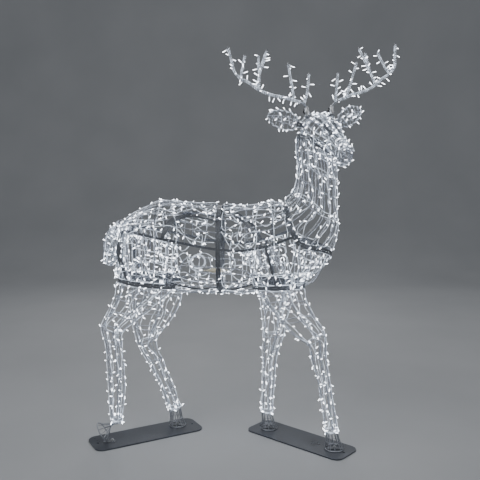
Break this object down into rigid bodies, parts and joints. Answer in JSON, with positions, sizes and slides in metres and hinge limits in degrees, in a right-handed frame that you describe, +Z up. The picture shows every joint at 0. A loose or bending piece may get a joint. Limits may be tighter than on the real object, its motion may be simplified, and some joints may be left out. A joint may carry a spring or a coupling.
{
  "type": "light-up yard reindeer",
  "caption": "Standing stag figure of welded wire sections wound with white light strings, on two flat plates, with lift-out antlers clamped by thumb screws and a screw-collar power coupler.",
  "frame": {"origin": "centre of the underside of the rear base plate, on the ground", "axes": "+X from tail to chest, +Y to the animal's left, +Z up"},
  "size_m": [1.4209, 0.4432, 1.8149],
  "materials": {
    "frame": "galvanised, slightly dull",
    "plate": "satin slate powder coat",
    "fastener": "zinc plated",
    "led_string": "clear pvc cable with lit white lamps",
    "knob": "moulded",
    "coupler": "moulded cream"
  },
  "bodies": {
    "stag": {"rear_base_plate": "plate", "front_base_plate": "plate", "hoof_screws": "fastener", "hoof_nuts": "fastener", "right_hind_leg": "frame", "left_hind_leg": "frame", "right_fore_leg": "frame", "left_fore_leg": "frame", "rear_body_frame": "frame", "front_body_frame": "frame", "neck_frame": "frame", "head_frame": "frame", "tail_frame": "frame", "right_ear": "frame", "left_ear": "frame", "body_bolts": "fastener", "body_wing_nuts": "fastener", "neck_bolts": "fastener", "neck_wing_nuts": "fastener", "leg_bolts": "fastener", "leg_wing_nuts": "fastener", "collar_bolts": "fastener", "collar_wing_nuts": "fastener", "tail_bolts": "fastener", "tail_wing_nuts": "fastener", "ear_screws": "fastener", "rear_body_lights": "led_string", "front_body_lights": "led_string", "neck_lights": "led_string", "head_lights": "led_string", "tail_lights": "led_string", "right_hind_leg_lights": "led_string", "left_hind_leg_lights": "led_string", "right_fore_leg_lights": "led_string", "left_fore_leg_lights": "led_string", "spare_cable_coil": "led_string", "power_socket": "coupler"},
    "right_antler_set": {"right_antler": "frame", "right_antler_lights": "led_string"},
    "left_antler_set": {"left_antler": "frame", "left_antler_lights": "led_string"},
    "right_knob": {"right_thumb_screw": "fastener", "right_thumb_knob": "knob"},
    "left_knob": {"left_thumb_screw": "fastener", "left_thumb_knob": "knob"},
    "plug": {"power_plug": "coupler"},
    "collar": {"power_collar": "coupler"}
  },
  "joints": [
    {"name": "right_antler_lift", "type": "slide", "parent": "stag", "child": "right_antler_set", "axis": [-0.0737, -0.0268, 0.9969], "range_m": [0, 0.045]},
    {"name": "right_knob_turn", "type": "hinge", "parent": "stag", "child": "right_knob", "pos_m": [0.73545, -0.04055, 1.496], "axis": [-0.342, 0.9397, 0], "range_deg": [0, 1080]},
    {"name": "left_antler_lift", "type": "slide", "parent": "stag", "child": "left_antler_set", "axis": [-0.0737, -0.0268, 0.9969], "range_m": [0, 0.045]},
    {"name": "left_knob_turn", "type": "hinge", "parent": "stag", "child": "left_knob", "pos_m": [0.84787, 0.00036, 1.50541], "axis": [-0.342, 0.9397, 0], "range_deg": [0, 1080]},
    {"name": "plug_pull", "type": "slide", "parent": "stag", "child": "plug", "axis": [-1, 0, 0], "range_m": [0, 0.025]},
    {"name": "collar_turn", "type": "hinge", "parent": "plug", "child": "collar", "pos_m": [0.341, -0.114, 0.8], "axis": [-1, 0, 0], "range_deg": [0, 540]}
  ]
}
